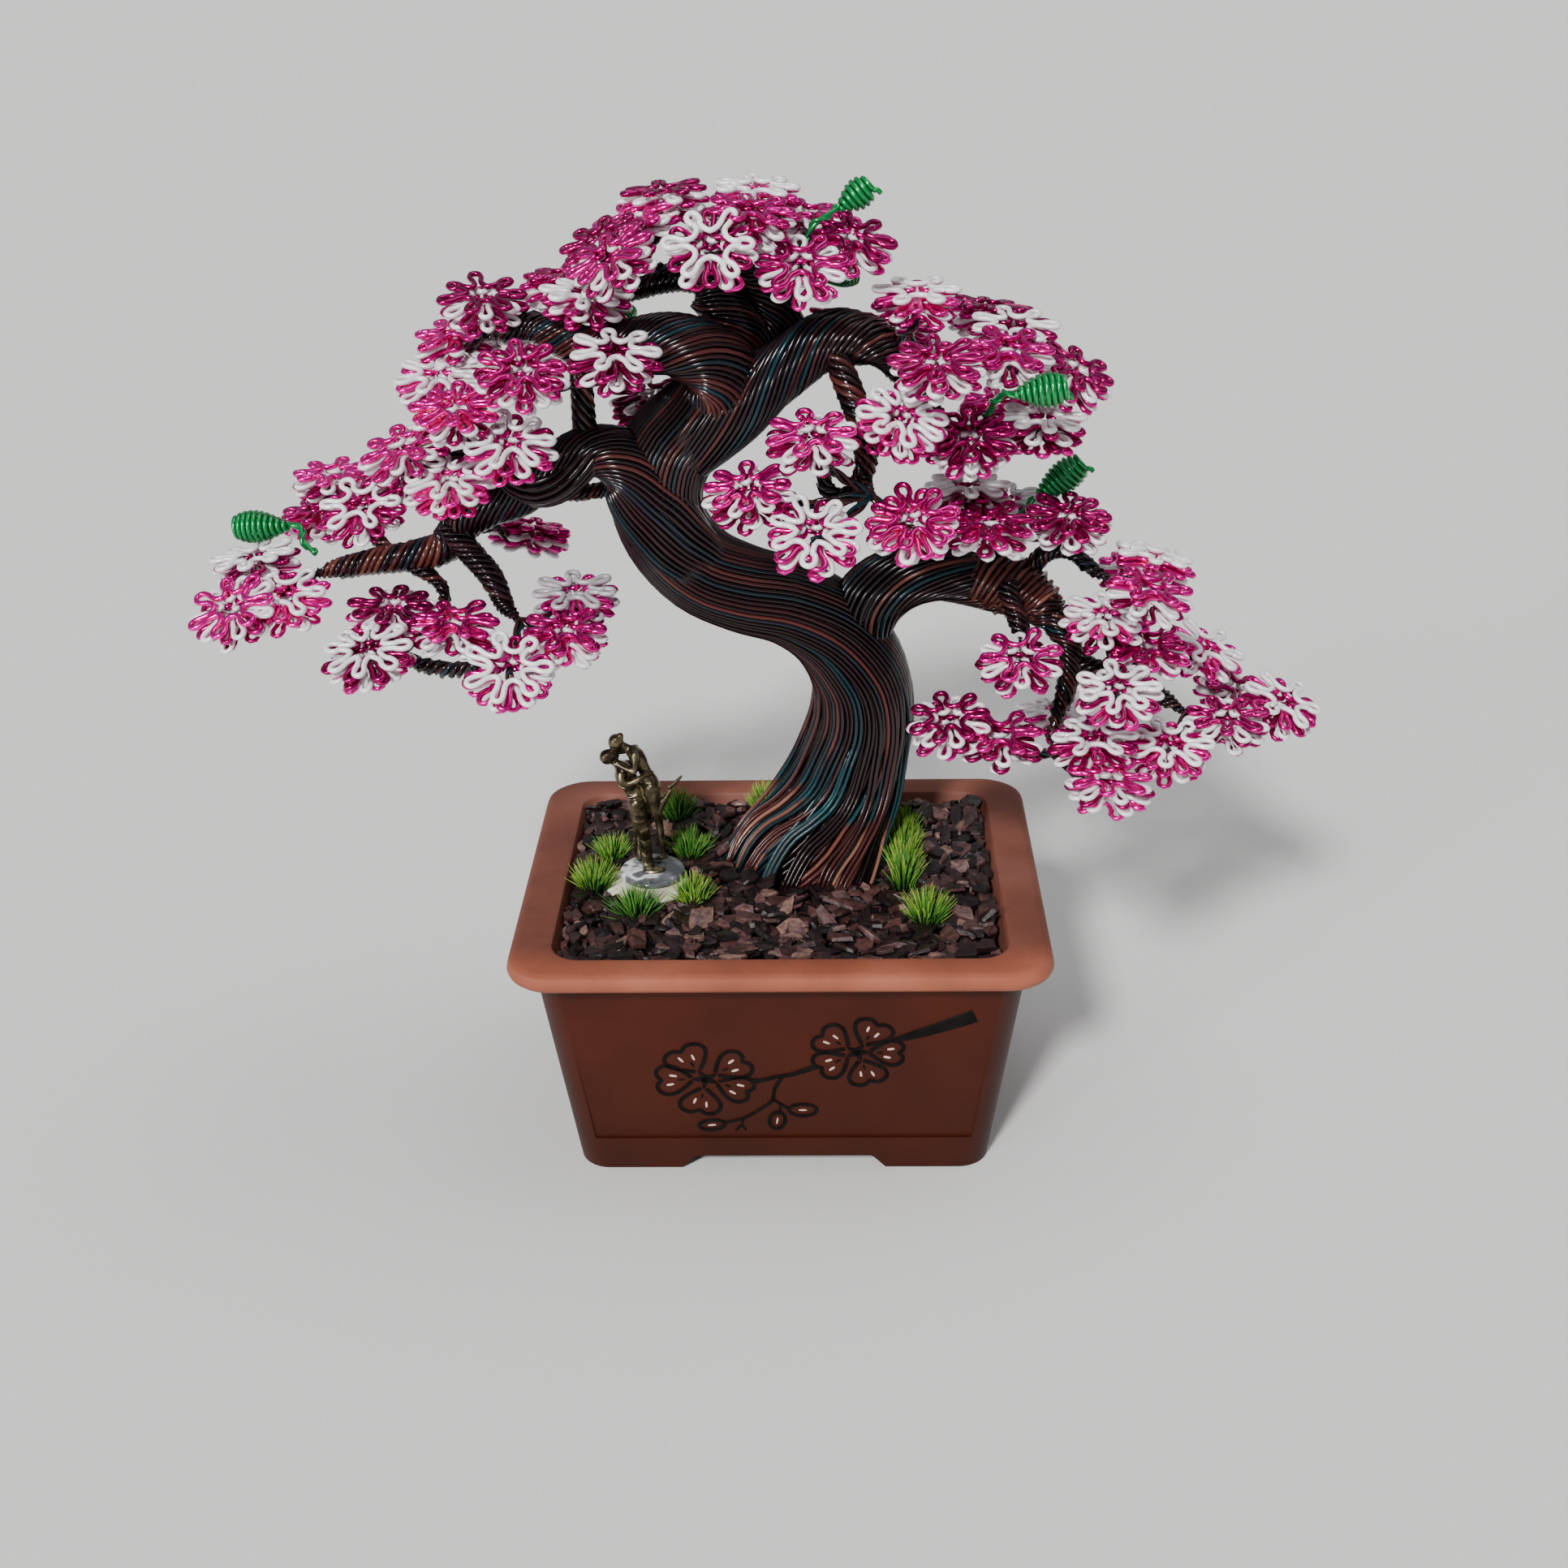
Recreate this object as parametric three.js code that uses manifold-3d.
// Cherry blossom bonsai made of craft wire, standing in a rectangular clay pot.
// Millimetres, +Z up. The origin is the centre of the pot's footprint, on the surface it stands on;
// +X is to the right along the pot's long side and -Y is the front.
import * as THREE from 'three';
import { mergeVertices } from 'three/addons/utils/BufferGeometryUtils.js';
import Module from 'manifold-3d';

const wasm = await Module();
wasm.setup();

// ---- driving dimensions ----
const CLEARANCE = 0.4; // between pieces that rest in or against each other
const EYE = [9.8, -412.3, 293.5]; // where the photo was taken from
const POT = {
  rimWidth: 120,
  rimDepth: 95.4,
  height: 61,
  rimThickness: 5,
  rimRound: 1.8, // how far its rounded edges reach up and down
  bodyWidth: 104, // under the rim
  bodyDepth: 81,
  footHeight: 4,
  footWidth: 91.6,
  footDepth: 68.4,
  footFlare: 0.9, // how much wider the feet are at their top
  floorTop: 9,
  floorWidth: 83.6, // the hollow at its bottom
  floorDepth: 60.4,
  mouthWidth: 100,
  mouthDepth: 78,
  drainRadius: 4.5,
};
// The gaps between the feet: width at the bottom and at the top, along the pot and across it.
const FOOT_GAPS = { front: [48, 41], side: [36, 29] };
// The sunk panel in each side: its depth, its lower and upper edge, how much narrower it is than the
// body at its top, and how much its sides lean in.
const PANEL = { depth: 0.6, low: 9.5, high: 52, inset: 13, lean: 5, sink: 0.45 };
const SOIL_TOP = 58.4; // mean level of the bark mulch
const SOIL_FLAT = 57.2; // level of the flat spots that the tufts and the stone stand on
const SOIL_INSET = 2.6; // how much narrower the mulch is than the pot's mouth
const SOIL_CORNER = 6.5;
const CHIP_RELIEF = 2.6;
const CHIP_LENGTH = 8.2; // spacing of the chips
const SOIL_BOTTOM = POT.floorTop + CLEARANCE;
const BLOOM_RADIUS = 10.3;
const PETALS = 8; // every second one is raised
const PETAL_THICKNESS = 1.2;
const PETAL_TIP = 2.3; // half width of a petal near its tip
const PETAL_ROOT = 3.4; // distance of the notches between petals from the middle
const PETAL_STEP = 1.25; // how far the upper petals rise and the lower ones drop
const HUB_RADIUS = 1.6; // the knot that the stems of one spray spread from
const STEM_RADIUS = 0.95;
const DISC = { radius: 7.7, thickness: 1.3, x: -30.5, y: -0.5, bottom: 60.3 };
const PEBBLE = { x: -31.5, y: -3, radius: 9, flattening: 0.92 };
const SMOOTHING = [0.02, 0.05, 0.08, 0.12]; // ever larger details that are smoothed away
const THINNEST_FACE = 0.002;

const COLOURS = {
  clay: [0x7a3f2c, 0.75, 0],
  mulch: [0x3a2824, 0.9, 0],
  bark_wire: [0x2b1d1a, 0.35, 0.8],
  pink_wire: [0xc02070, 0.3, 0.6],
  white_wire: [0xe6e2e6, 0.35, 0.2],
  green_wire: [0x109048, 0.3, 0.7],
  grass: [0x6f9a2c, 0.9, 0],
  pebble: [0xc9c5a0, 0.8, 0],
  glass: [0xb9bcc0, 0.15, 0],
  bronze: [0x6a5a38, 0.4, 0.9],
};

// ---- the tree's layout: [x, y, z, radius]; a radius pair is [along TRUNK_WIDE, across it] ----
const TRUNK_WIDE = [0.95, -0.31, 0]; // the way the trunk's foot is widest
const TRUNK = [
  [5, 6.5, 47, [20.4, 10]], [5, 6.5, 58, [20.4, 10]], [7.5, 8, 65, [19, 10.3]],
  [10, 9.5, 71, [17.2, 10.8]], [13, 11, 77.5, [15, 11.2]], [16.5, 12.6, 85, 12.2],
  [19, 13, 96, 11.5], [18, 12, 107, 11.3],
  [12, 10, 118, 10.6], [3, 8, 125, 10], [-8, 7, 129, 10], [-17, 6, 134, 10],
  [-24, 5, 143, 10], [-26, 4, 153, 10.3], [-23, 4, 162, 10.3], [-15, 4, 170, 9.6],
  [-9, 5, 178, 8],
];
const BRANCHES = [
  { path: [[-9, 5, 174, 8.5], [-5, 7, 184, 7.5], [-5, 8, 190, 6.4], [-8, 7, 197, 4]] },
  { path: [[-3, 8, 176, 6], [1, 12, 186, 5.4], [0, 12, 193, 4.8], [-4, 10, 198, 3.2]] },
  { path: [[-8, 1, 177, 7.5], [-13, -3, 184, 6.6], [-20, -5, 187, 5.8], [-28, -4, 186, 4.8],
    [-37, -2, 185, 4], [-44, 1, 187, 3.4], [-50, 3, 189, 3.1], [-56, 3, 188, 2.6]],
  hub: 'left_up' },
  { path: [[-24, 3, 160, 7.5], [-32, 0, 163, 6.6], [-40, -1, 162, 6.2], [-47, -2, 159, 5.6],
    [-54, -3, 155, 5], [-62, -3, 152, 4.5], [-69, -2, 147, 4.2], [-73, -2, 142, 3.4]] },
  { path: [[-70, -2, 144, 3.8], [-81, -2, 140, 3.4], [-89, -3, 140, 3], [-96, -3, 138, 2.4]],
    hub: 'left_tip' },
  { path: [[-70, -3, 146, 2.8], [-63, -5, 140, 2.6], [-58, -9, 135, 2.3]], hub: 'left_drop' },
  { path: [[-40, -1, 184, 2.6], [-40, -2, 176, 2.6], [-40, -1, 166, 2.8]] },
  { path: [[-8, 1, 173, 6.5], [-1, -3, 179, 6], [4, -4, 184, 5.4], [10, -4, 188, 5.2],
    [16, -3, 189, 5.2], [22, -1, 186, 4.6], [25, 1, 181, 3]] },
  { path: [[12, -6, 186, 3], [15, -11, 181, 3], [18, -15, 173, 2.8], [20, -18, 166, 2.4]],
    hub: 'front_fall' },
  { path: [[14, 9, 127, 8.5], [26, 8, 131, 7], [34, 7, 132, 6.2], [43, 6, 131, 6],
    [53, 5, 128, 5.8], [61, 3, 124, 4.6]] },
  { path: [[61, 3, 124, 4], [66, 0, 116, 3], [64, -3, 108, 2.6], [61, -8, 101, 1.8]],
    hub: 'right_foot' },
  { path: [[65, 0, 114, 2.6], [76, -2, 110, 2.6], [85, -2, 106, 2.3]], hub: 'right_tip' },
  { path: [[54, 6, 131, 2.6], [60, 7, 137, 2.3], [65, 6, 137, 2.1], [69, 4, 134, 2]],
    hub: 'right_arch' },
  { path: [[53, 1, 126, 2.2]], hub: 'right_drop' },
  { path: [[-84, -2, 141, 2.2], [-88, 4, 143, 1.8]], hub: 'left_shelf' },
  { path: [[-79, -3, 139, 2.2], [-73, -5, 135, 1.8], [-72, -9, 131, 1.6]], hub: 'left_front' },
  { path: [[-67, 0, 147, 2.2], [-65, 7, 144, 1.8]], hub: 'left_back' },
  { path: [[-56, -3, 156, 2.4], [-59, -5, 161, 1.8]], hub: 'left_mid' },
  { path: [[-38, -3, 184, 2.2]], hub: 'left_over' },
  { path: [[-8, 8, 194, 3.5], [-18, 10, 197, 3], [-28, 11, 195, 2.6], [-35, 11, 192, 2.2]],
    hub: 'left_crest' },
  { path: [[-22, 10, 160, 2.4], [-25, 16, 161, 1.8]], hub: 'gap_back' },
  { path: [[-8, 7, 196, 2.6], [-17, 6, 199, 2.2]], hub: 'crown_left' },
  { path: [[-6, 9, 197, 2.4]], hub: 'crown' },
  { path: [[-1, 10, 196, 2.4], [4, 5, 200, 1.8]], hub: 'crown_right' },
  { path: [[22, -1, 184, 2.4]], hub: 'right_up' },
  { path: [[22, 0, 183, 2.6], [33, 3, 181, 2.2]], hub: 'right_crest' },
  { path: [[24, 0, 181, 2.4], [31, -3, 175, 2]], hub: 'right_mid' },
  { path: [[46, 6, 133, 2.4]], hub: 'right_inner' },
  { path: [[71, -1, 112, 2]], hub: 'right_low' },
];

// Each spray: the knot its stems spread from, its commoner colour and its blooms. A bloom is
// [x, y, z, openness, lean]: its middle, how high it looks from the camera as a share of its width,
// and how many degrees it leans to the right.
const SPRAYS = {
  left_tip: { hub: [-101, -3, 137], wire: 'white_wire', blooms: [
    [-114, -1, 139.5, 0.28, -8], [-115, -18, 135, 0.6, -25], [-105, -13, 135.5, 0.55, -5],
  ] },
  left_shelf: { hub: [-90, 11, 146], wire: 'pink_wire', blooms: [
    [-101, 24, 150, 0.3, 0], [-91, 6, 149, 0.6, -10], [-84, 18, 153, 0.35, -10],
    [-104, 22, 142, 0.3, -5],
  ] },
  left_front: { hub: [-74, -13, 128], wire: 'pink_wire', blooms: [
    [-85, -28, 129, 0.6, -8], [-82, -14, 133, 0.45, 0], [-68, -20, 132, 0.42, 3],
  ] },
  left_drop: { hub: [-55, -14, 130], wire: 'white_wire', blooms: [
    [-55, -33, 127, 0.82, 0], [-45, -18, 129, 0.5, 5], [-44, -4, 132, 0.45, 0],
  ] },
  left_back: { hub: [-63, 14, 141], wire: 'pink_wire', blooms: [
    [-57, 24, 137, 0.14, 14], [-68, 34, 144, 0.35, 0],
  ] },
  left_mid: { hub: [-62, -6, 166], wire: 'pink_wire', blooms: [
    [-53, -20, 171, 0.6, 0], [-64, -16, 177, 0.46, -5], [-77, -10, 167, 0.42, -15],
    [-67, -16, 162, 0.5, -5], [-71, 4, 178, 0.45, 0],
  ] },
  left_over: { hub: [-40, -12, 181], wire: 'white_wire', blooms: [
    [-50, -18, 185, 0.6, 0], [-31, -20, 189, 0.44, 2],
  ] },
  left_up: { hub: [-61, 5, 187], wire: 'pink_wire', blooms: [
    [-60, 3, 195, 0.42, 0], [-68, 13, 185, 0.3, -10], [-55, 27, 184, 0.3, 0],
  ] },
  left_crest: { hub: [-40, 11, 189], wire: 'white_wire', blooms: [
    [-38, -1, 196, 0.32, 5], [-45, 20, 195, 0.14, -5],
  ] },
  gap_back: { hub: [-27, 22, 160], wire: 'pink_wire', blooms: [
    [-28, 26, 167, 0.35, -3], [-21, 36, 157, 0.3, 0],
  ] },
  crown_left: { hub: [-27, 6, 201], wire: 'pink_wire', blooms: [
    [-34, -1, 207, 0.35, -25], [-29, 14, 208, 0.3, -20], [-31.5, -11.5, 206, 0.42, -28],
    [-23, 22, 212, 0.13, -3],
  ] },
  crown: { hub: [-9, 5, 205], wire: 'white_wire', blooms: [
    [-11.5, -16.5, 209, 0.76, 0], [-3, 13, 214, 0.25, 2], [-4, -5, 213, 0.3, 5],
    [-10, 34, 202, 0.3, 0],
  ] },
  crown_right: { hub: [8, 1, 202], wire: 'pink_wire', blooms: [
    [6, -11, 204, 0.62, 0], [16, 4, 206, 0.5, 15], [6.5, 13, 209, 0.22, 5], [12, 26, 202, 0.3, 10],
  ] },
  right_up: { hub: [28, -1, 187], wire: 'pink_wire', blooms: [
    [30, 6, 194, 0.3, 0], [32.5, -22, 187, 0.5, 0], [17, 19.5, 185, 0.12, 8], [27, 31, 180, 0.3, 5],
  ] },
  right_crest: { hub: [45, 4, 182], wire: 'pink_wire', blooms: [
    [50, 5, 187, 0.38, 3], [46, 21, 187, 0.16, 5], [48, -9, 186, 0.42, 5], [63, 4, 178, 0.4, 30],
    [58, 24, 174, 0.3, 10],
  ] },
  right_mid: { hub: [38, -6, 169], wire: 'white_wire', blooms: [
    [26, -22, 176, 0.62, 15], [40, -16, 170, 0.6, 0], [56, -2, 169, 0.34, 3], [49, 20, 166, 0.3, 0],
  ] },
  front_fall: { hub: [20, -21, 160], wire: 'pink_wire', blooms: [
    [8, -27, 174, 0.5, 0], [-5, -27, 163, 0.5, -5], [8, -36, 157, 0.76, 0], [28, -32, 158, 0.72, 0],
  ] },
  right_inner: { hub: [50, 4, 142], wire: 'pink_wire', blooms: [
    [41, 2, 153, 0.3, 0], [45, -12, 150, 0.45, 0], [63, 0, 147, 0.5, 5], [52, 22, 143, 0.35, 0],
  ] },
  right_arch: { hub: [73, 3, 132], wire: 'pink_wire', blooms: [
    [84, 12, 133, 0.2, 10], [79, -15, 136, 0.36, 12], [83, 30, 124, 0.25, 5],
  ] },
  right_drop: { hub: [54, -8, 121], wire: 'pink_wire', blooms: [
    [52, -18, 122, 0.6, 0],
  ] },
  right_low: { hub: [74, -6, 116], wire: 'white_wire', blooms: [
    [71, -8, 127, 0.5, 5], [80, -10, 121, 0.5, 5], [72, -26, 118, 0.62, 0], [98, 14, 110, 0.42, 25],
  ] },
  right_tip: { hub: [91, -3, 102], wire: 'pink_wire', blooms: [
    [113, 0, 103, 0.5, 28], [99, -9, 103, 0.48, 0], [85, -18, 101, 0.6, 5], [107, 22, 96, 0.36, 25],
  ] },
  right_foot: { hub: [61, -11, 96], wire: 'pink_wire', blooms: [
    [37, -17, 107, 0.6, -10], [48, -21, 105, 0.5, 0], [68, -21, 104, 0.5, 0],
    [70.5, -32, 99.5, 0.42, 0], [64, 12, 95, 0.3, 0],
  ] },
};

// Each leaf is a coil of green wire: the bends of its stem, then the coil's base and its tip.
const LEAVES = {
  leaf_left: [[-101, 1, 140], [-106, 7, 147], [-118, 8, 147]],
  leaf_top: [[5.5, 0, 205], [6, 0.5, 211], [13, 4, 212], [21, 5, 218]],
  leaf_right_upper: [[43, -8, 168], [50, -11, 173], [48, -22, 178], [58, -22, 181]],
  leaf_right_lower: [[52, 7, 144], [56, 12, 150], [66, 12, 160]],
  leaf_behind: [[-36, 14, 190], [-35, 17, 185], [-32, 28, 186]],
  leaf_inner: [[9, 4, 200], [11, 6, 198], [17, 14, 196]],
};

// Grass tufts standing on the mulch: [x, y, radius, height].
const TUFTS = {
  tuft_left: [-44, -4.5, 5.8, 7],
  tuft_behind_stone: [-40.5, 10, 4.8, 6],
  tuft_stone_front: [-33, -17, 6, 6.5],
  tuft_stone_right: [-20.5, -11, 5.4, 6.5],
  tuft_beside_couple: [-22.5, 11, 5.2, 7],
  tuft_back_left: [-26.5, 30, 5.2, 7.5],
  tuft_back: [-4.7, 33, 4.6, 8],
  tuft_right: [33, -19.5, 6, 7],
};
const TUFT_ROW = { x: 30.5, from: -5, to: 22, count: 4, radius: 4, height: 8.5 };

// ---- small helpers ----
const vec = (p) => new THREE.Vector3(p[0], p[1], p[2]);

// A repeatable fraction from 0 to 1 for a pair of whole numbers.
function chance(a, b) {
  const s = Math.sin(a * 127.1 + b * 311.7) * 43758.5453;
  return s - Math.floor(s);
}

// A closed geometry as a solid, and back.
function toSolid(geometry) {
  const bare = geometry.clone();
  bare.deleteAttribute('normal');
  bare.deleteAttribute('uv');
  const merged = mergeVertices(bare, 1e-4);
  return new wasm.Manifold(new wasm.Mesh({
    numProp: 3,
    vertProperties: new Float32Array(merged.attributes.position.array),
    triVerts: new Uint32Array(merged.index.array),
  }));
}

function toGeometry(solid) {
  const mesh = solid.getMesh();
  const corners = new Float32Array((mesh.vertProperties.length / mesh.numProp) * 3);
  for (let i = 0; i < corners.length / 3; i += 1) {
    for (let k = 0; k < 3; k += 1) {
      corners[3 * i + k] = mesh.vertProperties[mesh.numProp * i + k];
    }
  }
  const geometry = new THREE.BufferGeometry();
  geometry.setAttribute('position', new THREE.BufferAttribute(corners, 3));
  geometry.setIndex(Array.from(mesh.triVerts));
  geometry.computeVertexNormals();
  return geometry;
}

// Several solids as one, without slivers and without any scrap that hangs loose.
function tidy(solid) {
  const smooth = SMOOTHING.reduce((rough, detail) => rough.asOriginal().simplify(detail), solid);
  const pieces = toSolid(toGeometry(smooth)).decompose();
  return pieces.reduce((best, piece) => (piece.volume() > best.volume() ? piece : best));
}

function join(solids) {
  return tidy(solids.reduce((all, next) => all.add(next)));
}

// The height of a solid's thinnest face.
function thinnest(solid) {
  const { vertProperties, triVerts, numProp } = solid.getMesh();
  const at = (i) => new THREE.Vector3().fromArray(vertProperties, triVerts[i] * numProp);
  let least = Infinity;
  for (let i = 0; i < triVerts.length; i += 3) {
    const [a, b, c] = [at(i), at(i + 1), at(i + 2)];
    const longest = Math.max(a.distanceTo(b), b.distanceTo(c), c.distanceTo(a));
    least = Math.min(least, b.sub(a).cross(c.sub(a)).length() / longest);
  }
  return least;
}

// Makes a solid with its stems rolled a little further each time until it has no sliver.
function withoutSlivers(make) {
  let best = { height: 0 };
  for (let roll = 0; roll < 2 && best.height < THINNEST_FACE; roll += 0.1) {
    const solid = make(roll);
    const height = thinnest(solid);
    if (height > best.height) {
      best = { solid, height };
    }
  }
  return best.solid;
}

// A closed skin over rings of points that all run the same way round.
function skin(rings, startPoint, endPoint) {
  const count = rings[0].length;
  const corners = [];
  rings.forEach((ring) => ring.forEach((p) => corners.push(p.x, p.y, p.z)));
  const first = corners.length / 3;
  const middle = (ring) => ring.reduce((sum, p) => sum.add(p), vec([0, 0, 0])).divideScalar(count);
  const start = startPoint ?? middle(rings[0]);
  const end = endPoint ?? middle(rings[rings.length - 1]);
  corners.push(start.x, start.y, start.z, end.x, end.y, end.z);
  const faces = [];
  const last = (rings.length - 1) * count;
  for (let j = 0; j < count; j += 1) {
    const k = (j + 1) % count;
    for (let i = 0; i < rings.length - 1; i += 1) {
      const low = i * count;
      const high = low + count;
      faces.push(low + j, low + k, high + k, low + j, high + k, high + j);
    }
    faces.push(first, k, j, first + 1, last + j, last + k);
  }
  const geometry = new THREE.BufferGeometry();
  geometry.setAttribute('position', new THREE.Float32BufferAttribute(corners, 3));
  geometry.setIndex(faces);
  return geometry;
}

// A rope-like limb along [x, y, z, radius] points: its outline has ridges that turn with its length.
function limb(points, { ridges, groove, turnLength, step, wide: start = [1, 0, 0], grow = 0, roll = 0 }) {
  const curve = new THREE.CatmullRomCurve3(points.map(vec), false, 'centripetal');
  const radii = points.map((p) => (Array.isArray(p[3]) ? p[3] : [p[3], p[3]]));
  const count = ridges * 2;
  const spans = points.length - 1;
  const stations = [];
  for (let i = 0; i < spans; i += 1) {
    const pieces = Math.max(1, Math.round(vec(points[i]).distanceTo(vec(points[i + 1])) / step));
    for (let k = 0; k < pieces; k += 1) {
      stations.push(i + k / pieces);
    }
  }
  stations.push(spans);
  let across = vec(start);
  let travelled = 0;
  let previous = null;
  const rings = stations.map((station) => {
    const middle = curve.getPoint(station / spans);
    const ahead = curve.getTangent(station / spans);
    travelled += previous ? middle.distanceTo(previous) : 0;
    previous = middle;
    across = across.clone().addScaledVector(ahead, -across.dot(ahead));
    if (across.length() < 0.1) {
      across.set(0, 1, 0).addScaledVector(ahead, -ahead.y);
    }
    across.normalize();
    const up = ahead.clone().cross(across);
    const i = Math.min(spans - 1, Math.floor(station));
    const mix = station - i;
    const wide = radii[i][0] * (1 - mix) + radii[i + 1][0] * mix + grow;
    const deep = radii[i][1] * (1 - mix) + radii[i + 1][1] * mix + grow;
    const turn = (2 * Math.PI * travelled) / turnLength + roll;
    return Array.from({ length: count }, (_, j) => {
      const angle = (2 * Math.PI * j) / count + turn;
      const ridge = j % 2 === 0 ? 1 : 1 - groove;
      return middle.clone()
        .addScaledVector(across, Math.cos(angle) * wide * ridge)
        .addScaledVector(up, Math.sin(angle) * deep * ridge);
    });
  });
  return toSolid(skin(rings));
}

// A straight three-sided stem between two points.
function stem(from, to, radiusFrom, radiusTo, roll) {
  const axis = to.clone().sub(from);
  const geometry = new THREE.CylinderGeometry(radiusTo, radiusFrom, axis.length(), 3);
  geometry.rotateY(roll);
  geometry.translate(0, axis.length() / 2, 0);
  geometry.applyQuaternion(new THREE.Quaternion().setFromUnitVectors(
    new THREE.Vector3(0, 1, 0),
    axis.normalize(),
  ));
  geometry.translate(from.x, from.y, from.z);
  return toSolid(geometry);
}

// A ring of points on a rectangle with round corners, at height z.
function roundedRing(width, depth, corner, z, cornerPieces = 4) {
  const ring = [];
  for (let quarter = 0; quarter < 4; quarter += 1) {
    const sx = quarter === 0 || quarter === 3 ? 1 : -1;
    const sy = quarter < 2 ? 1 : -1;
    for (let i = 0; i <= cornerPieces; i += 1) {
      const angle = (Math.PI / 2) * (quarter + i / cornerPieces);
      ring.push(new THREE.Vector3(
        sx * (width / 2 - corner) + corner * Math.cos(angle),
        sy * (depth / 2 - corner) + corner * Math.sin(angle),
        z,
      ));
    }
  }
  return ring;
}

// ---- the pot ----
function makePot() {
  const bodyTop = POT.height - POT.rimThickness;
  const { bodyWidth, bodyDepth, footFlare, rimRound } = POT;
  // Width, depth, corner radius and height of the outline, up the outside and down the inside.
  const profile = [
    [POT.footWidth, POT.footDepth, 7, 0],
    [POT.footWidth + footFlare, POT.footDepth + footFlare, 7, POT.footHeight],
    [bodyWidth, bodyDepth, 8, bodyTop],
    [POT.rimWidth - 2.4, POT.rimDepth - 2.4, 9, bodyTop + 0.3],
    [POT.rimWidth, POT.rimDepth, 10, bodyTop + rimRound],
    [POT.rimWidth, POT.rimDepth, 10, POT.height - rimRound],
    [POT.rimWidth - 2.4, POT.rimDepth - 2.4, 9, POT.height],
    [POT.mouthWidth + 1.4, POT.mouthDepth + 1.4, 7, POT.height],
    [POT.mouthWidth, POT.mouthDepth, 6, POT.height - 1],
    [POT.floorWidth, POT.floorDepth, 5, POT.floorTop],
  ];
  let pot = toSolid(skin(profile.map(([w, d, r, z]) => roundedRing(w, d, r, z))));
  // The arched gaps between the four corner feet, along each axis.
  const gaps = [
    [...FOOT_GAPS.front, POT.footDepth, 0],
    [...FOOT_GAPS.side, POT.footWidth, Math.PI / 2],
  ];
  gaps.forEach(([low, high, length, turn]) => {
    const outline = new THREE.Shape([
      new THREE.Vector2(-low / 2, -1),
      new THREE.Vector2(low / 2, -1),
      new THREE.Vector2(low / 2, 0),
      new THREE.Vector2(high / 2, POT.footHeight),
      new THREE.Vector2(-high / 2, POT.footHeight),
      new THREE.Vector2(-low / 2, 0),
    ]);
    const gap = new THREE.ExtrudeGeometry(outline, { depth: length + 20, bevelEnabled: false });
    gap.translate(0, 0, -(length + 20) / 2);
    gap.rotateX(Math.PI / 2);
    gap.rotateZ(turn);
    pot = pot.subtract(toSolid(gap));
  });
  // The shallow sunk panel in each of the four leaning sides.
  const sides = [
    [bodyWidth, POT.footDepth, bodyDepth, 0],
    [bodyWidth, POT.footDepth, bodyDepth, Math.PI],
    [bodyDepth, POT.footWidth, bodyWidth, Math.PI / 2],
    [bodyDepth, POT.footWidth, bodyWidth, -Math.PI / 2],
  ];
  sides.forEach(([across, low, high, turn]) => {
    const lean = Math.atan2((high - low) / 2, bodyTop - POT.footHeight);
    const half = (across - PANEL.inset) / 2;
    const outline = new THREE.Shape([
      new THREE.Vector2(-half + PANEL.lean, PANEL.low),
      new THREE.Vector2(half - PANEL.lean, PANEL.low),
      new THREE.Vector2(half, PANEL.high),
      new THREE.Vector2(-half, PANEL.high),
    ]);
    const panel = new THREE.ExtrudeGeometry(outline, { depth: 4, bevelEnabled: false });
    panel.translate(0, -POT.footHeight, -PANEL.depth);
    panel.rotateX(Math.PI / 2 + lean);
    panel.translate(0, -low / 2 - PANEL.sink, POT.footHeight);
    panel.rotateZ(turn);
    pot = pot.subtract(toSolid(panel));
  });
  const drain = new THREE.CylinderGeometry(POT.drainRadius, POT.drainRadius, 20, 12);
  drain.rotateX(Math.PI / 2);
  return tidy(pot.subtract(toSolid(drain)));
}

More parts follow.
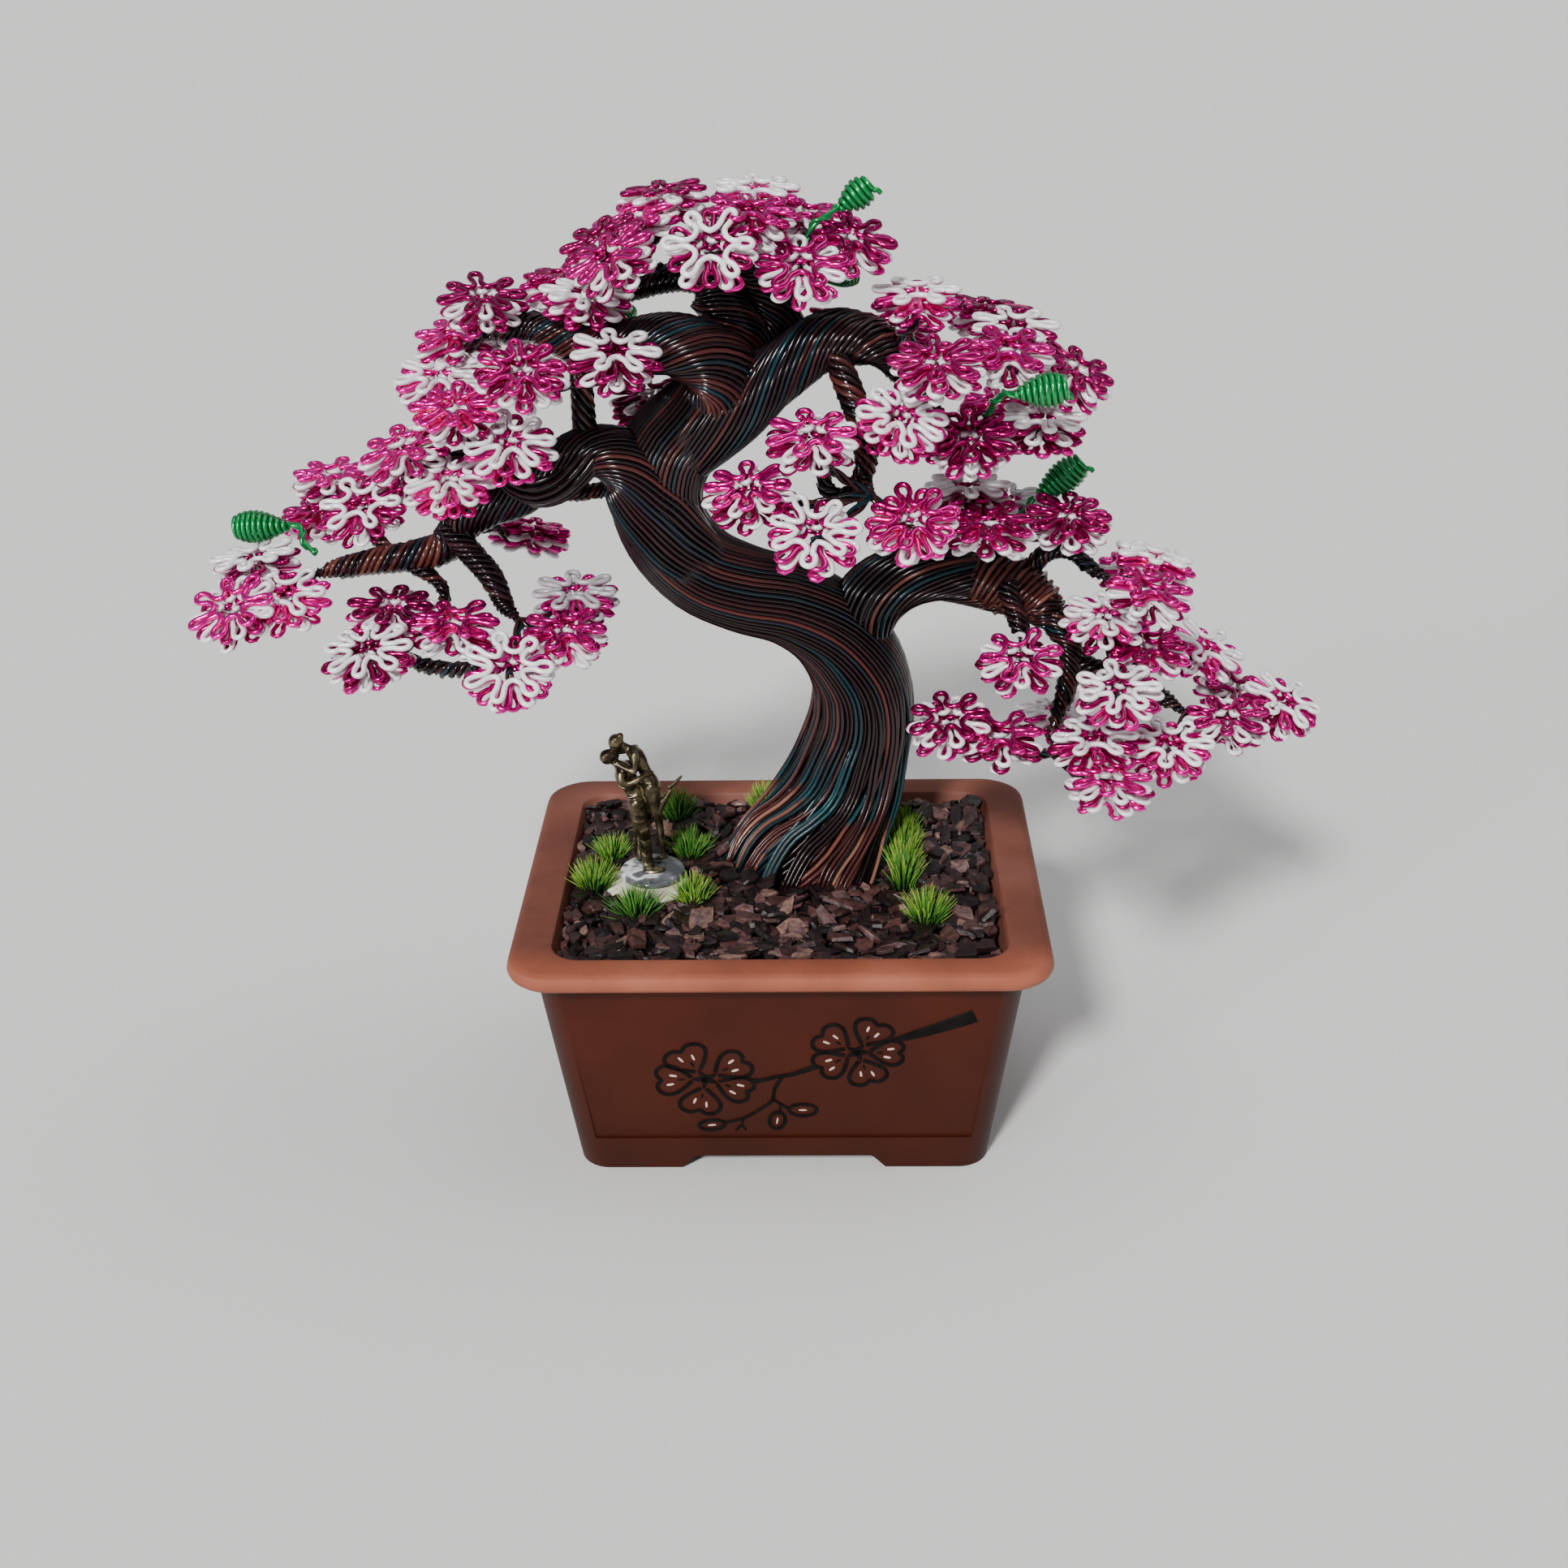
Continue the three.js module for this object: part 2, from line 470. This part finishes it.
// ---- the bark mulch: a bed whose top is broken into chips, with pits for what stands in it ----
function makeSoil(trunkHole) {
  const size = { x: POT.mouthWidth - SOIL_INSET, y: POT.mouthDepth - SOIL_INSET };
  const narrowing = {
    x: (POT.floorWidth - 3 * CLEARANCE) / size.x,
    y: (POT.floorDepth - 3 * CLEARANCE) / size.y,
  };
  const cells = { x: Math.round(size.x / CHIP_LENGTH), y: Math.round(size.y / CHIP_LENGTH) };
  const at = (i, j) => {
    const edge = i === 0 || j === 0 || i === cells.x || j === cells.y;
    const jitter = edge ? 0 : CHIP_LENGTH * 0.6;
    const point = new THREE.Vector3(
      (i / cells.x - 0.5) * size.x + (chance(i, j) - 0.5) * jitter,
      (j / cells.y - 0.5) * size.y + (chance(j, i + 9) - 0.5) * jitter,
      SOIL_TOP + (chance(i + 7, j) - 0.5) * CHIP_RELIEF,
    );
    const bend = new THREE.Vector3(
      Math.sign(point.x) * (size.x / 2 - SOIL_CORNER),
      Math.sign(point.y) * (size.y / 2 - SOIL_CORNER),
      point.z,
    );
    const past = Math.abs(point.x) > Math.abs(bend.x) && Math.abs(point.y) > Math.abs(bend.y);
    return past ? bend.add(point.sub(bend).clampLength(0, SOIL_CORNER)) : point;
  };
  const columns = cells.y + 1;
  const corners = [];
  for (let i = 0; i <= cells.x; i += 1) {
    for (let j = 0; j <= cells.y; j += 1) {
      corners.push(at(i, j));
    }
  }
  const faces = [];
  for (let i = 0; i < cells.x; i += 1) {
    for (let j = 0; j < cells.y; j += 1) {
      const a = i * columns + j;
      const b = a + columns;
      faces.push(...((i + j) % 2 ? [a, b, b + 1, a, b + 1, a + 1] : [a, b, a + 1, b, b + 1, a + 1]));
    }
  }
  const run = (length) => Array.from({ length }, (_, i) => i);
  const rim = [
    ...run(cells.x).map((i) => i * columns),
    ...run(cells.y).map((j) => cells.x * columns + j),
    ...run(cells.x).map((i) => (cells.x - i) * columns + cells.y),
    ...run(cells.y).map((j) => cells.y - j),
  ];
  const below = corners.length;
  rim.forEach((k) => {
    const { x, y } = corners[k];
    corners.push(new THREE.Vector3(x * narrowing.x, y * narrowing.y, SOIL_BOTTOM));
  });
  corners.push(new THREE.Vector3(0, 0, SOIL_BOTTOM));
  rim.forEach((k, i) => {
    const next = (i + 1) % rim.length;
    faces.push(k, below + i, below + next, k, below + next, rim[next]);
    faces.push(corners.length - 1, below + next, below + i);
  });
  const bed = new THREE.BufferGeometry().setFromPoints(corners);
  bed.setIndex(faces);
  // Each pit: its middle, its radius and its number of sides.
  const spots = [
    [PEBBLE.x, PEBBLE.y, PEBBLE.radius + 1.4, 12],
    ...Object.values(TUFTS).map(([x, y, radius]) => [x, y, radius + 0.6, 7]),
  ];
  const pits = spots.map(([x, y, radius, sides]) => {
    const pit = new THREE.CylinderGeometry(radius, radius, 10, sides);
    pit.rotateX(Math.PI / 2);
    pit.translate(x, y, SOIL_FLAT + 5);
    return toSolid(pit);
  });
  const rowPit = new THREE.BoxGeometry(
    TUFT_ROW.radius * 2 + 1,
    TUFT_ROW.to - TUFT_ROW.from + TUFT_ROW.radius * 2 + 1,
    10,
  );
  rowPit.translate(TUFT_ROW.x, (TUFT_ROW.from + TUFT_ROW.to) / 2, SOIL_FLAT + 5);
  const holes = [trunkHole, toSolid(rowPit), ...pits];
  return tidy(holes.reduce((rest, hole) => rest.subtract(hole), toSolid(bed)));
}

// ---- the trunk and its branches: bundles of wire, ridged along their length ----
const TRUNK_TWIST = { ridges: 11, turnLength: 420, step: 9, wide: TRUNK_WIDE };

function makeTree(roll) {
  const trunk = limb(TRUNK, { ...TRUNK_TWIST, groove: 0.1 });
  const limbs = BRANCHES.map(({ path, hub }) => {
    const points = [...path];
    if (hub) {
      const knot = vec(SPRAYS[hub].hub);
      const before = vec(path[path.length - 1]);
      const back = before.sub(knot).normalize().multiplyScalar(HUB_RADIUS + CLEARANCE);
      points.push([...knot.add(back).toArray(), 1.2]);
    }
    const thick = points[0][3] > 4;
    return limb(points, {
      ridges: thick ? 4 : 3,
      groove: thick ? 0.2 : 0.26,
      turnLength: thick ? 60 : 36,
      step: 7.5,
      roll: roll * 0.2,
    });
  });
  return join([trunk, ...limbs]);
}

// ---- one bloom: a wheel of petals, every second one raised over the lower ones ----
function bloomGeometry() {
  const corners = [];
  const add = (radius, angle, z) => corners.push(radius * Math.cos(angle), radius * Math.sin(angle), z);
  const half = PETAL_THICKNESS / 2;
  const spread = Math.asin(PETAL_TIP / BLOOM_RADIUS);
  for (let k = 0; k < PETALS; k += 1) {
    const angle = (2 * Math.PI * k) / PETALS;
    const raised = k % 2 === 0;
    const z = raised ? PETAL_STEP : -PETAL_STEP;
    const reach = raised ? BLOOM_RADIUS - 0.5 : BLOOM_RADIUS;
    [half, -half].forEach((face) => {
      add(PETAL_ROOT, angle - Math.PI / PETALS, face);
      add(reach, angle - spread, z + face);
      add(reach, angle + spread, z + face);
    });
  }
  const faces = [];
  const top = (k, i) => (k % PETALS) * 6 + i;
  const low = (k, i) => (k % PETALS) * 6 + 3 + i;
  for (let k = 0; k < PETALS; k += 1) {
    const outline = [[k, 0], [k, 1], [k, 2], [k + 1, 0]];
    faces.push(top(k, 0), top(k, 1), top(k, 2), top(k, 0), top(k, 2), top(k + 1, 0));
    faces.push(low(k, 0), low(k, 2), low(k, 1), low(k, 0), low(k + 1, 0), low(k, 2));
    for (let i = 0; i < 3; i += 1) {
      const [a, b] = [outline[i], outline[i + 1]];
      faces.push(low(...a), low(...b), top(...b), low(...a), top(...b), top(...a));
    }
    if (k > 0 && k < PETALS - 1) {
      faces.push(top(0, 0), top(k, 0), top(k + 1, 0), low(0, 0), low(k + 1, 0), low(k, 0));
    }
  }
  const geometry = new THREE.BufferGeometry();
  geometry.setAttribute('position', new THREE.Float32BufferAttribute(corners, 3));
  geometry.setIndex(faces);
  return geometry;
}

// The way a bloom faces, from how open it looks from where the photo was taken.
function bloomFacing(middle, openness, lean) {
  const toward = vec(EYE).sub(middle).normalize();
  const right = vec([0, 0, 1]).cross(toward).normalize();
  const above = toward.clone().cross(right);
  const tilt = THREE.MathUtils.degToRad(lean);
  const aside = above.multiplyScalar(Math.cos(tilt)).addScaledVector(right, Math.sin(tilt));
  return toward.multiplyScalar(openness).addScaledVector(aside, Math.sqrt(1 - openness ** 2));
}

function makeSpray({ hub, blooms }, bloom, roll) {
  const knot = vec(hub);
  const ball = new THREE.OctahedronGeometry(HUB_RADIUS, 0);
  ball.rotateX(0.4 + roll);
  ball.rotateY(0.3);
  ball.translate(knot.x, knot.y, knot.z);
  const parts = [toSolid(ball)];
  blooms.forEach((place, i) => {
    const middle = vec(place);
    const facing = bloomFacing(middle, place[3], place[4]);
    const tilt = new THREE.Quaternion().setFromUnitVectors(new THREE.Vector3(0, 0, 1), facing);
    const petals = bloom.clone();
    petals.rotateZ(chance(i + place[0], place[2]) * Math.PI);
    petals.applyQuaternion(tilt);
    petals.translate(middle.x, middle.y, middle.z);
    const under = middle.clone().addScaledVector(facing, -0.2);
    parts.push(toSolid(petals), stem(knot, under, STEM_RADIUS, STEM_RADIUS * 0.6, roll));
  });
  return join(parts);
}

// ---- a leaf: a coil of green wire, thick in the middle, on a thin stem ----
function makeLeaf(points, roll) {
  const [base, tip] = points.slice(-2);
  const bends = points.slice(0, -1).map(vec);
  const length = vec(base).distanceTo(vec(tip));
  const coils = 5;
  const profile = [new THREE.Vector2(0, -0.4)];
  for (let i = 0; i <= coils * 2; i += 1) {
    const t = i / (coils * 2);
    const swell = 1.1 + 2.9 * Math.sin(Math.PI * t ** 0.8);
    profile.push(new THREE.Vector2(swell - (i % 2 === 0 ? 0.5 : 0), t * length));
  }
  profile.push(new THREE.Vector2(0, length + 0.8));
  const coil = new THREE.LatheGeometry(profile, 5);
  coil.applyQuaternion(new THREE.Quaternion().setFromUnitVectors(
    new THREE.Vector3(0, 1, 0),
    vec(tip).sub(vec(base)).normalize(),
  ));
  coil.translate(...base);
  const stems = bends.slice(1).map((bend, i) => stem(bends[i], bend, 0.65, 0.65, roll));
  return join([toSolid(coil), ...stems]);
}

// ---- grass: a low heart with blades leaning out of it ----
function makeTuft([x, y, radius, height], seed, roll, bladeCount = 7) {
  const bottom = SOIL_FLAT + CLEARANCE;
  const heart = new THREE.LatheGeometry([
    new THREE.Vector2(0, 0),
    new THREE.Vector2(radius * 0.6, 0),
    new THREE.Vector2(0, height * 0.4),
  ], 5);
  heart.rotateX(Math.PI / 2);
  heart.translate(x, y, bottom);
  const parts = [toSolid(heart)];
  for (let i = 0; i < bladeCount; i += 1) {
    const out = Math.sqrt((i + 0.4) / bladeCount);
    const angle = i * 2.4 + chance(seed, i) * 0.4;
    const root = new THREE.Vector3(
      x + Math.cos(angle) * out * radius * 0.42,
      y + Math.sin(angle) * out * radius * 0.42,
      bottom + 0.5 + height * 0.25 * (1 - out),
    );
    const tip = new THREE.Vector3(
      x + Math.cos(angle) * out * radius,
      y + Math.sin(angle) * out * radius,
      bottom + height * (1 - 0.4 * out) * (0.85 + 0.3 * chance(i, seed)),
    );
    parts.push(stem(root, tip, 0.7, 0, roll + i));
  }
  return join(parts);
}

// A row of tufts that grow out of one mat.
function makeTuftRow(roll) {
  const { x, from, to, count, radius, height } = TUFT_ROW;
  const mat = new THREE.BoxGeometry(radius * 0.9, to - from, 1.6);
  mat.translate(x, (from + to) / 2, SOIL_FLAT + CLEARANCE + 0.9);
  const tufts = Array.from({ length: count }, (_, i) => {
    const y = from + ((to - from) * i) / (count - 1);
    return makeTuft([x, y, radius, height], i + 20, roll, 4);
  });
  return join([toSolid(mat), ...tufts]);
}

// ---- the pebble, the disc on it and the bronze couple that stands on the disc ----
function makePebble() {
  const bottom = SOIL_FLAT + CLEARANCE;
  const top = DISC.bottom - CLEARANCE;
  const pebble = new THREE.LatheGeometry([
    new THREE.Vector2(0, bottom),
    new THREE.Vector2(PEBBLE.radius * 0.82, bottom),
    new THREE.Vector2(PEBBLE.radius, bottom + 0.9),
    new THREE.Vector2(PEBBLE.radius * 0.93, top - 0.6),
    new THREE.Vector2(PEBBLE.radius * 0.73, top),
    new THREE.Vector2(0, top),
  ], 14);
  pebble.rotateX(Math.PI / 2);
  pebble.scale(1, PEBBLE.flattening, 1);
  pebble.translate(PEBBLE.x, PEBBLE.y, 0);
  return toSolid(pebble);
}

function makeDisc() {
  const disc = new THREE.CylinderGeometry(DISC.radius, DISC.radius, DISC.thickness, 20);
  disc.rotateX(Math.PI / 2);
  disc.translate(DISC.x, DISC.y, DISC.bottom + DISC.thickness / 2);
  return toSolid(disc);
}

function makeCouple(roll) {
  const floor = DISC.bottom + DISC.thickness + CLEARANCE;
  const [x, y, z] = [DISC.x, DISC.y, floor];
  const flesh = (points) => limb(
    points.map(([px, py, pz, r]) => [x + px, y + py, z + pz, r]),
    { ridges: 3, groove: 0.04, turnLength: 1e6, step: 20, roll },
  );
  const head = (px, py, pz, radius) => {
    const skull = new THREE.IcosahedronGeometry(radius, 1);
    skull.scale(0.88, 1, 1.15);
    skull.translate(x + px, y + py, z + pz);
    return toSolid(skull);
  };
  const plinth = new THREE.CylinderGeometry(4.6, 4.8, 0.7, 12);
  plinth.rotateX(Math.PI / 2);
  plinth.translate(x - 0.6, y + 1, z + 0.35);
  // The one in trousers: a leg with the body and neck, the other leg, an arm and the head.
  const front = [
    flesh([[-0.8, -1.3, 0.4, 1], [-1.5, -1.6, 10, 1.5], [-3.2, -0.6, 18, 2.1], [-3.9, 0, 20.6, 1.8],
      [-6, 0, 24.4, 2.3], [-7.4, 0, 26.8, 1.2], [-8.8, 0, 28.4, 0.9]]),
    flesh([[-3.1, 3.4, 0.4, 1], [-2.9, 2.6, 10, 1.4], [-3.5, 1, 18.5, 1.8]]),
    flesh([[-7, -2, 26, 1], [-5.4, -3.2, 24, 0.9], [-1.2, -2, 25.4, 0.7]]),
    head(-9.8, 0, 29.6, 1.75),
  ];
  // The other one: a leg with the body and neck, the leg that is bent back, an arm and the head.
  const back = [
    flesh([[2.2, 3.2, 0.4, 0.8], [1.6, 2.2, 12, 1.1], [0, 0.8, 21, 1.9], [-1.2, 0, 24.8, 1.5],
      [-3.2, 0, 28.6, 1.8], [-4.9, 0, 31.3, 1.2], [-6.9, 0.1, 33, 0.8]]),
    flesh([[0.2, -0.9, 21, 1.7], [1.6, -1.2, 14.8, 1.1], [3.4, -0.8, 19, 0.8], [4.6, -0.7, 21.6, 0.6],
      [6.8, -0.7, 24.2, 0.5]]),
    flesh([[-4.1, -1.6, 31, 0.8], [-3.9, -3, 27.4, 0.7], [-7.4, -2.2, 28.3, 0.6]]),
    head(-8.4, 0.1, 33.6, 1.7),
  ];
  return join([toSolid(plinth), ...front, ...back]);
}

// ---- the scene graph ----
const bonsai = new THREE.Group();

function place(name, solid, finish) {
  const [color, roughness, metalness] = COLOURS[finish];
  const material = new THREE.MeshStandardMaterial({ color, roughness, metalness });
  const mesh = new THREE.Mesh(toGeometry(solid), material);
  mesh.name = name;
  bonsai.add(mesh);
}

const [footX, footY, footZ, footRadii] = TRUNK[0];
const trunkHole = limb(
  [[footX, footY, footZ - CLEARANCE, footRadii], ...TRUNK.slice(1, 4)],
  { ...TRUNK_TWIST, groove: 0.05, grow: CLEARANCE * 1.5 },
);
place('pot', makePot(), 'clay');
place('mulch_bed', makeSoil(trunkHole), 'mulch');
place('trunk_and_branches', withoutSlivers(makeTree), 'bark_wire');
const bloom = bloomGeometry();
Object.entries(SPRAYS).forEach(([name, spray]) => {
  place(`spray_${name}`, withoutSlivers((roll) => makeSpray(spray, bloom, roll)), spray.wire);
});
Object.entries(LEAVES).forEach(([name, points]) => {
  place(name, withoutSlivers((roll) => makeLeaf(points, roll)), 'green_wire');
});
Object.entries(TUFTS).forEach(([name, tuft], i) => {
  place(name, withoutSlivers((roll) => makeTuft(tuft, i + 1, roll)), 'grass');
});
place('tuft_beside_trunk', withoutSlivers(makeTuftRow), 'grass');
place('pebble', makePebble(), 'pebble');
place('glass_disc', makeDisc(), 'glass');
place('bronze_couple', withoutSlivers(makeCouple), 'bronze');

export default bonsai;
